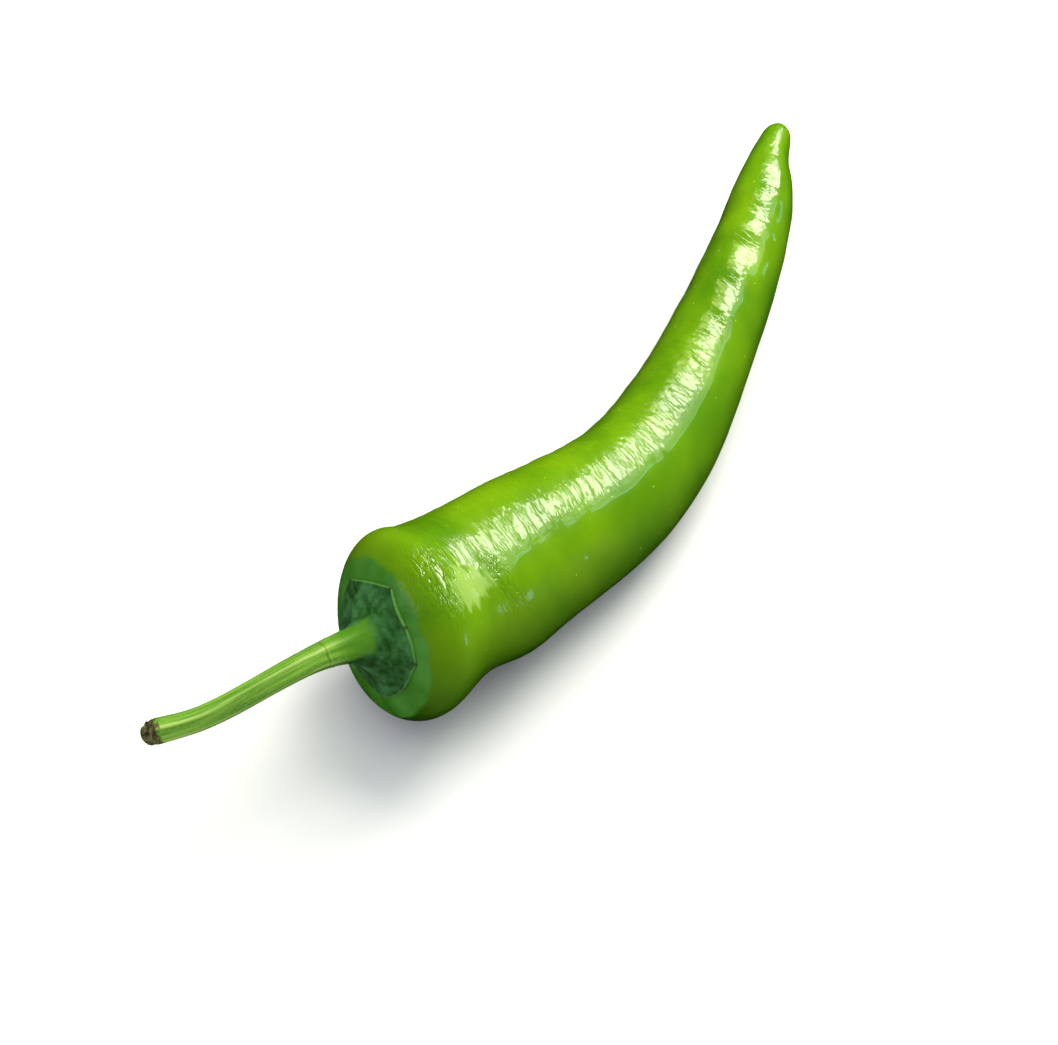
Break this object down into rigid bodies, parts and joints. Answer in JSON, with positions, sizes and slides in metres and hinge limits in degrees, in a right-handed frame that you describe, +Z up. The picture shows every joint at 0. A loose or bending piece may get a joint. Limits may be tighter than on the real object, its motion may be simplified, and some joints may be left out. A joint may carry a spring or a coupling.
{
  "type": "green chilli pepper",
  "caption": "Long curved green chilli pepper lying on its side, with a glossy tapering pod, a toothed calyx and a ribbed stem.",
  "frame": {"origin": "Middle of the bottom of the whole pepper's box, on the surface it lies on.", "axes": "+X runs from the cut end of the stem to the tip of the pod, +Z is up; the pod bends towards +Y at both ends."},
  "size_m": [0.2207, 0.048, 0.0411],
  "materials": {
    "pod_skin": "glossy waxy skin",
    "calyx_leaf": "matte leafy",
    "stem_stalk": "satin fibrous"
  },
  "bodies": {
    "root": {"pod": "pod_skin", "calyx": "calyx_leaf", "stem": "stem_stalk"}
  },
  "joints": []
}
